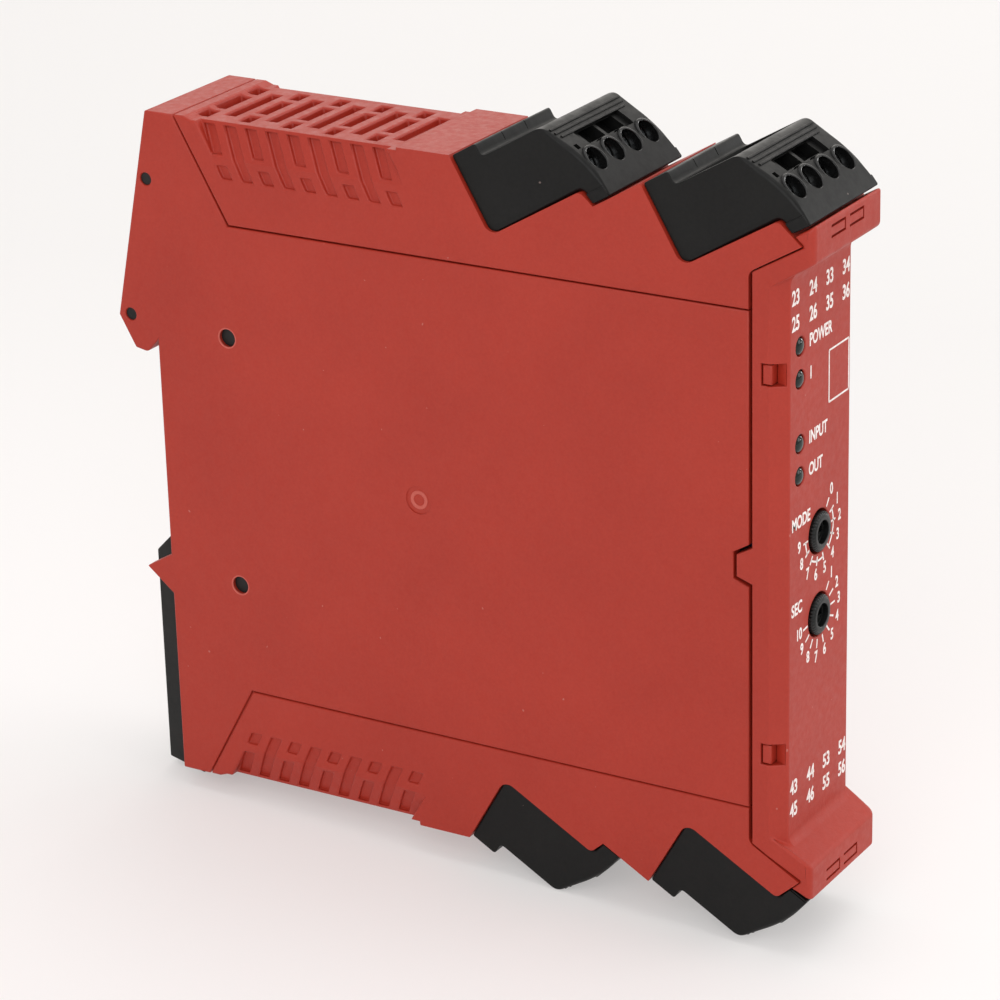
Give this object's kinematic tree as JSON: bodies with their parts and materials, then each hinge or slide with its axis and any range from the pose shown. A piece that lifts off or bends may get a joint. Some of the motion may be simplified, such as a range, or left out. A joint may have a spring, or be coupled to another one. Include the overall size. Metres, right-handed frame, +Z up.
{
  "type": "safety relay expansion module",
  "caption": "Narrow rail-mounted relay module with a hollow red housing, pull-off screw terminal plugs, set dials, status lights and a sprung rail latch.",
  "frame": {"origin": "middle of the overall box's footprint, at the lowest level of the lower terminal plugs", "axes": "+X to the right seen from the front, the front faces -Y, the rail is at +Y, +Z up"},
  "size_m": [0.0226, 0.1188, 0.1205],
  "materials": {
    "housing_red": "fine grained red moulding",
    "plug_black": "satin black moulding",
    "latch_black": "satin black moulding",
    "dial_black": "satin black moulding",
    "header_black": "plain black moulding",
    "chip_black": "moulded chip",
    "switch_case": "dark moulding",
    "board_green": "solder mask",
    "relay_case": "dark relay case",
    "capacitor_sleeve": "shrink sleeve",
    "light_pipe": "clear smoke-green moulding",
    "pin_tin": "tinned",
    "contact_brass": "tinned brass",
    "cage_steel": "zinc plated"
  },
  "bodies": {
    "housing": {"housing_base": "housing_red", "top_cover": "housing_red", "bottom_cover": "housing_red", "front_cap": "housing_red", "main_board": "board_green", "front_board": "board_green", "output_relay_upper": "relay_case", "output_relay_lower": "relay_case", "supply_capacitors": "capacitor_sleeve", "logic_chips": "chip_black", "range_switch": "switch_case", "time_switch": "switch_case", "power_light": "light_pipe", "state_light": "light_pipe", "input_light": "light_pipe", "output_light": "light_pipe", "upper_rear_header": "header_black", "upper_front_header": "header_black", "lower_rear_header": "header_black", "lower_front_header": "header_black", "upper_rear_pins": "pin_tin", "upper_front_pins": "pin_tin", "lower_rear_pins": "pin_tin", "lower_front_pins": "pin_tin"},
    "upper_rear_terminal": {"upper_rear_plug": "plug_black", "upper_rear_cages": "cage_steel", "upper_rear_contacts": "contact_brass"},
    "upper_front_terminal": {"upper_front_plug": "plug_black", "upper_front_cages": "cage_steel", "upper_front_contacts": "contact_brass"},
    "lower_rear_terminal": {"lower_rear_plug": "plug_black", "lower_rear_cages": "cage_steel", "lower_rear_contacts": "contact_brass"},
    "lower_front_terminal": {"lower_front_plug": "plug_black", "lower_front_cages": "cage_steel", "lower_front_contacts": "contact_brass"},
    "range_dial_turn": {"range_dial": "dial_black"},
    "time_dial_turn": {"time_dial": "dial_black"},
    "latch_foot": {"rail_latch": "latch_black"}
  },
  "joints": [
    {"name": "upper_rear_pull", "type": "slide", "parent": "housing", "child": "upper_rear_terminal", "axis": [0, -0.866, 0.5], "range_m": [0, 0.02]},
    {"name": "upper_front_pull", "type": "slide", "parent": "housing", "child": "upper_front_terminal", "axis": [0, -0.866, 0.5], "range_m": [0, 0.02]},
    {"name": "lower_rear_pull", "type": "slide", "parent": "housing", "child": "lower_rear_terminal", "axis": [0, -0.866, -0.5], "range_m": [0, 0.02]},
    {"name": "lower_front_pull", "type": "slide", "parent": "housing", "child": "lower_front_terminal", "axis": [0, -0.866, -0.5], "range_m": [0, 0.02]},
    {"name": "range_turn", "type": "hinge", "parent": "housing", "child": "range_dial_turn", "pos_m": [0, -0.05515, 0.06257], "axis": [0, 1, 0], "range_deg": [-54, 180]},
    {"name": "time_turn", "type": "hinge", "parent": "housing", "child": "time_dial_turn", "pos_m": [0, -0.05515, 0.04957], "axis": [0, 1, 0], "range_deg": [-52, 174]},
    {"name": "latch_slide", "type": "slide", "parent": "housing", "child": "latch_foot", "axis": [0, 0, -1], "range_m": [0, 0.004], "stiffness_N_per_m": 800, "springref_m": -0.002}
  ]
}
